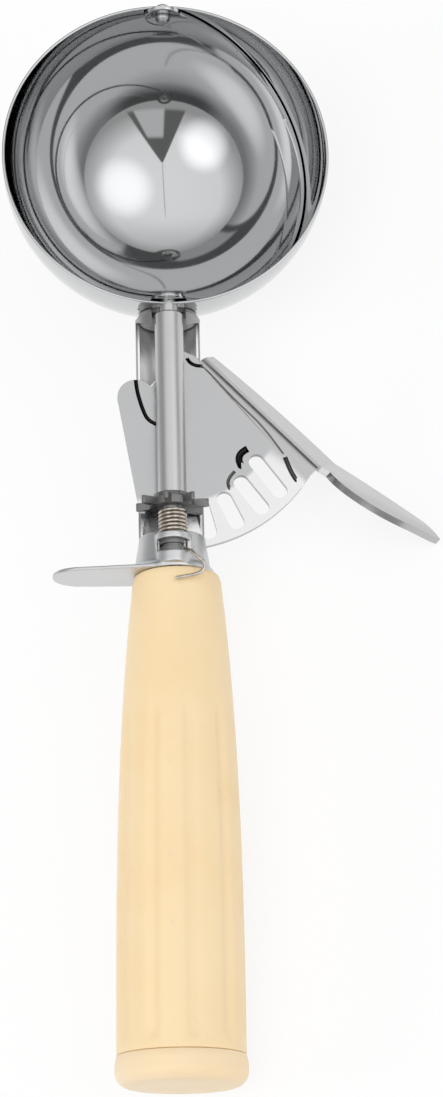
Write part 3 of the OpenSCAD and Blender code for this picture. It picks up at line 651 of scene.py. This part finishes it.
# the cage is turned so that a row of faces lies under each flute
halfStep = 180 / handleShape["segments"]
firstFlute = handleShape["firstFlute"]
handle.data.transform(Matrix.Rotation(math.radians(firstFlute - halfStep), 4, "Z"))
bpy.ops.object.mode_set(mode="EDIT")
bpy.ops.mesh.select_all(action="DESELECT")
bpy.ops.mesh.select_mode(type="VERT")
leaveEdit()
spacing = 360 / handleShape["flutes"]
slack = 0.1   # degrees and mm, so that rounding leaves no point out
for v in handle.data.vertices:
    turnOf = math.degrees(math.atan2(v.co.y, v.co.x)) - firstFlute
    aside = abs((turnOf + spacing / 2) % spacing - spacing / 2)
    down = v.co.z - top
    alongFlute = handleShape["fluteFrom"] - slack < down < handleShape["fluteTo"] + slack
    v.select = alongFlute and aside < halfStep + slack
bpy.ops.object.mode_set(mode="EDIT")
sink = 1 - handleShape["fluteDeep"] / handleShape["buttRadius"]
bpy.ops.transform.resize(value=(sink, sink, 1), center_override=(0, 0, 0))
leaveEdit()
applyModifier(handle, "SUBSURF", levels=handleShape["smooth"], render_levels=handleShape["smooth"])
makeActive(handle)
bpy.ops.object.shade_smooth_by_angle(angle=math.radians(handleShape["smoothAngle"]))
gripPlace = (Matrix.Translation((handleShape["side"], -top, -toolLayout["axisDeep"]))
             @ Matrix.Rotation(math.radians(-handleShape["lean"]), 4, "Z")
             @ Matrix.Translation((0, top, 0)) @ downTheHandle)
layDown(handle, gripPlace)
finishPiece(handle, "gripMoulding", "frame", "ivory_plastic", handlePlastic, "handle")

# The spring is a close coil with one leg that hooks out in front of the handle
springShape = {
    "wire": 0.7, "radius": 2.65, "from": 80.35, "to": 86.9, "pitch": 0.78, "leaves": 60.0,
    "wireSegments": 12, "stepsPerTurn": 32, "smoothAngle": 50, "alongSteps": 10, "roundSteps": 4,
    "hook": [(2.165, -86.9, 1.25), (2.165, -88.6, 1.25), (2.6, -89.2, 1.9), (3.05, -89.4, 2.6),
             (3.6, -90.0, 4.0), (4.5, -91.4, 4.6), (5.9, -92.4, 4.7), (6.2, -93.57, 4.7),
             (5.62, -94.69, 4.7), (4.37, -95.25, 4.7), (2.5, -95.67, 4.7), (0.16, -96.02, 4.7)],
}

coilLength = springShape["to"] - springShape["from"]
turns = round(coilLength / springShape["pitch"])
coilSteps = springShape["stepsPerTurn"] * turns
deselectAll()
bpy.ops.mesh.primitive_circle_add(
    vertices=springShape["wireSegments"], radius=springShape["wire"] / 2,
    location=(springShape["radius"], 0, springShape["from"]), rotation=(math.radians(90), 0, 0))
spring = bpy.context.object
bpy.ops.object.transform_apply(location=True, rotation=True, scale=False)
applyModifier(spring, "SCREW", angle=math.radians(360) * turns, screw_offset=coilLength,
              iterations=1, steps=coilSteps, render_steps=coilSteps, axis="Z",
              use_smooth_shade=True)
# the coil's end is turned to the side where the leg leaves
spring.data.transform(Matrix.Rotation(math.radians(90 - springShape["leaves"]), 4, "Z"))
layDown(spring, downTheHandle)
hook = tubeAlong(springShape["hook"], springShape["wire"] / 2, springShape["alongSteps"],
                 springShape["roundSteps"])
layDown(hook)
joinTo(spring, hook)
bpy.ops.object.shade_smooth_by_angle(angle=math.radians(springShape["smoothAngle"]))
finishPiece(spring, "returnSpring", "frame", "spring_wire", springWire, "torsion_spring")

# A matt painted floor: pale, with hardly any shine
floorLook = {"colour": "#FCFCFC", "size": 6.0, "rough": 0.7, "shine": 0.1, "shadowKept": 0.17}

deselectAll()
bpy.ops.mesh.primitive_plane_add(size=floorLook["size"], location=(0, 0, 0))
floor = bpy.context.object
floor.name = "studioFloor"
floorMaterial, floorTree, floorShader = newMaterial("paleFloor", floorLook["colour"], 0.0,
                                                    floorLook["rough"])
floorShader.inputs["Specular IOR Level"].default_value = floorLook["shine"]
# the camera, metal and glass see the floor lifted towards white, with part of its shadow kept
floorSeen = addNode(floorTree, "LightPath").outputs
lift = addNode(floorTree, "Math", {
    0: floorSeen["Is Camera Ray"], 1: floorSeen["Is Glossy Ray"]}, operation="MAXIMUM")
lift = addNode(floorTree, "Math", {
    0: lift, 1: floorSeen["Is Transmission Ray"]}, operation="MAXIMUM")
lift = addNode(floorTree, "Math", {
    0: lift, 1: 1 - floorLook["shadowKept"]}, operation="MULTIPLY")
glow = addNode(floorTree, "Emission", {"Color": (1, 1, 1, 1), "Strength": 1.0})
mixedFloor = addNode(floorTree, "MixShader", {0: lift, 1: floorShader, 2: glow})
floorTree.links.new(mixedFloor.outputs[0], floorTree.nodes["Material Output"].inputs["Surface"])
floor.data.materials.append(floorMaterial)

# A white tent seen in the metal: bright overhead, grey low down, with the dark opening and the
# seam that the camera looks through. Directions are taken along the tool's axes.
tentLook = {
    "brightness": 1.26,
    # from straight down at 0 to straight up at 1, and how bright the tent is there
    "heights": [(0.0, 0.6), (0.45, 0.46), (0.6, 0.34), (0.74, 0.35), (0.81, 0.56), (0.87, 0.81),
                (1.0, 0.86)],
    # bright patches: degrees round from the lever's side, degrees from straight up, half width
    # in degrees, strength
    "patches": [(0, 28, 25, 0.47), (224, 45, 22, 0.62)],
    # darker towards the bowl's tip
    "tipSide": (0.3, 0.75), "tipSideDark": 0.24,
    # the opening, on a plane above the bowl, starts at a point and widens towards the handle;
    # its sides are slopes from that point and its ends are distances from it
    "openingAt": 0.364, "openingLight": 0.13,
    "openingSides": ((-0.44, -0.40), (0.72, 0.66)), "openingEnds": ((0.0, 0.03), (1.5, 1.25)),
    # a paler part inside it
    "innerLight": 0.38, "innerSides": ((-0.06, 0.0), (0.58, 0.52)), "innerFrom": (0.4, 0.5),
    # the seam runs on from the opening's point
    "seamDark": 0.69, "seamLean": -0.04, "seamWidth": (0.008, 0.002),
    "seamEnds": ((-0.8, -0.6), (0.02, -0.02)),
}

world = bpy.data.worlds.new("lightTent")
bpy.context.scene.world = world
world.use_nodes = True
tent = world.node_tree
tent.nodes.clear()
direction = addNode(tent, "TexCoord").outputs["Generated"]
right, north, up = partsAlong(tent, direction, toolAxes)
upShare = addNode(tent, "Math", {0: up, 1: 0.5, 2: 0.5}, operation="MULTIPLY_ADD")
level = addNode(tent, "ValToRGB", {"Fac": upShare}, tentLook["heights"])
for azimuth, zenith, wide, strength in tentLook["patches"]:
    a, z = math.radians(azimuth), math.radians(zenith)
    aim = (toolX * math.cos(a) + toolY * math.sin(a)) * math.sin(z) + toolZ * math.cos(z)
    near = partsAlong(tent, direction, [aim])[0]
    patch = maskOf(tent, (near, math.cos(math.radians(wide)), 1.0))
    level = addNode(tent, "Math", {0: patch, 1: strength, 2: level}, operation="MULTIPLY_ADD")
tipSide = maskOf(tent, (north, *tentLook["tipSide"]))
level = addNode(tent, "Math", {0: tipSide, 1: -tentLook["tipSideDark"], 2: level},
                operation="MULTIPLY_ADD")

# a place on the plane: aside is towards the lever's side, and past is towards the handle. Small
# numbers keep the divisions clear of 0.
over = addNode(tent, "Math", {0: up, 1: 0.05}, operation="MAXIMUM")
aside = addNode(tent, "Math", {0: right, 1: over}, operation="DIVIDE")
ahead = addNode(tent, "Math", {0: north, 1: over}, operation="DIVIDE")
past = addNode(tent, "Math", {0: ahead, 1: -1.0, 2: -tentLook["openingAt"]},
               operation="MULTIPLY_ADD")
pastPoint = addNode(tent, "Math", {0: past, 1: 0.001}, operation="MAXIMUM")
slope = addNode(tent, "Math", {0: aside, 1: pastPoint}, operation="DIVIDE")
opening = maskOf(tent, *((slope, *edge) for edge in tentLook["openingSides"]),
                 *((past, *edge) for edge in tentLook["openingEnds"]))
inner = maskOf(tent, *((slope, *edge) for edge in tentLook["innerSides"]),
               (past, *tentLook["innerFrom"]))
openingLevel = addNode(tent, "Math", {0: inner, 1: tentLook["innerLight"],
                                      2: tentLook["openingLight"]}, operation="MULTIPLY_ADD")
level = addNode(tent, "Mix", {0: opening, 2: level, 3: openingLevel})
besideSeam = addNode(tent, "Math", {0: past, 1: tentLook["seamLean"], 2: aside},
                     operation="MULTIPLY_ADD")
besideSeam = addNode(tent, "Math", {0: besideSeam}, operation="ABSOLUTE")
seam = maskOf(tent, (besideSeam, *tentLook["seamWidth"]),
              *((past, *edge) for edge in tentLook["seamEnds"]))
brightness = addNode(tent, "Math", {0: seam, 1: -tentLook["seamDark"],
                                    2: tentLook["brightness"]}, operation="MULTIPLY_ADD")
level = addNode(tent, "Math", {0: level, 1: brightness}, operation="MULTIPLY")

# the camera and glass see plain white past the floor's edge
seen = addNode(tent, "LightPath").outputs
white = addNode(tent, "Math", {0: seen["Is Camera Ray"], 1: seen["Is Transmission Ray"]},
                operation="MAXIMUM")
level = addNode(tent, "Mix", {0: white, 2: level, 3: 1.0})
background = addNode(tent, "Background", {"Color": (1, 1, 1, 1), "Strength": level})
addNode(tent, "OutputWorld", {"Surface": background})

# Three soft lamps for the plastic and the floor's shadow
lampFar = 0.9   # metres from the middle of the floor
lamps = {
    # name: (degrees round from the butt's side, degrees up, watts, metres across)
    "overheadLamp": (0, 75, 0.95, 0.6),
    "rightLamp": (80, 40, 0.3, 0.5),
    "leftLamp": (-80, 30, 1.5, 0.3),
}

for name, (azimuth, elevation, power, size) in lamps.items():
    a, e = math.radians(azimuth), math.radians(elevation)
    away = Vector((math.cos(e) * math.sin(a), -math.cos(e) * math.cos(a), math.sin(e)))
    deselectAll()
    bpy.ops.object.light_add(type="AREA", location=away * lampFar)
    lamp = bpy.context.object
    lamp.name = name
    lamp.data.shape = "DISK"
    lamp.data.size = size
    lamp.data.energy = power
    lamp.rotation_euler = away.to_track_quat("Z", "Y").to_euler()
    lamp.visible_glossy = False   # the metal shows the tent, not the lamps' outlines

# The camera keeps the photo's place over the tool: degrees, and mm in the tool's axes
cameraPlace = {"azimuth": -3.444, "elevation": 17.724, "twist": -1.4436, "far": 600.0,
               "target": (9.9106, -88.367, 0.0), "focalPixels": 2922.27, "longSidePixels": 1097,
               "sensor": 36.0, "nearest": 0.01}

azimuth, elevation = math.radians(cameraPlace["azimuth"]), math.radians(cameraPlace["elevation"])
twist = math.radians(cameraPlace["twist"])
back = Vector((math.sin(azimuth) * math.cos(elevation), -math.sin(elevation),
               math.cos(azimuth) * math.cos(elevation)))
side = Vector((0, 1, 0)).cross(back).normalized()
upward = back.cross(side)
sideTurned = side * math.cos(twist) + upward * math.sin(twist)
upTurned = upward * math.cos(twist) - side * math.sin(twist)
turnOfCamera = Matrix((sideTurned, upTurned, back)).transposed().to_4x4()
placeOfCamera = (Vector(cameraPlace["target"]) + back * cameraPlace["far"]) * mm
deselectAll()
bpy.ops.object.camera_add()
camera = bpy.context.object
camera.name = "photoCamera"
camera.data.sensor_fit = "AUTO"
camera.data.sensor_width = cameraPlace["sensor"]
focalShare = cameraPlace["focalPixels"] / cameraPlace["longSidePixels"]
camera.data.lens = focalShare * cameraPlace["sensor"]
camera.data.clip_start = cameraPlace["nearest"]
camera.matrix_world = toolPlace @ Matrix.Translation(placeOfCamera) @ turnOfCamera
bpy.context.scene.camera = camera

bpy.context.scene.view_settings.view_transform = "Standard"
print("Stage, lights and camera set")
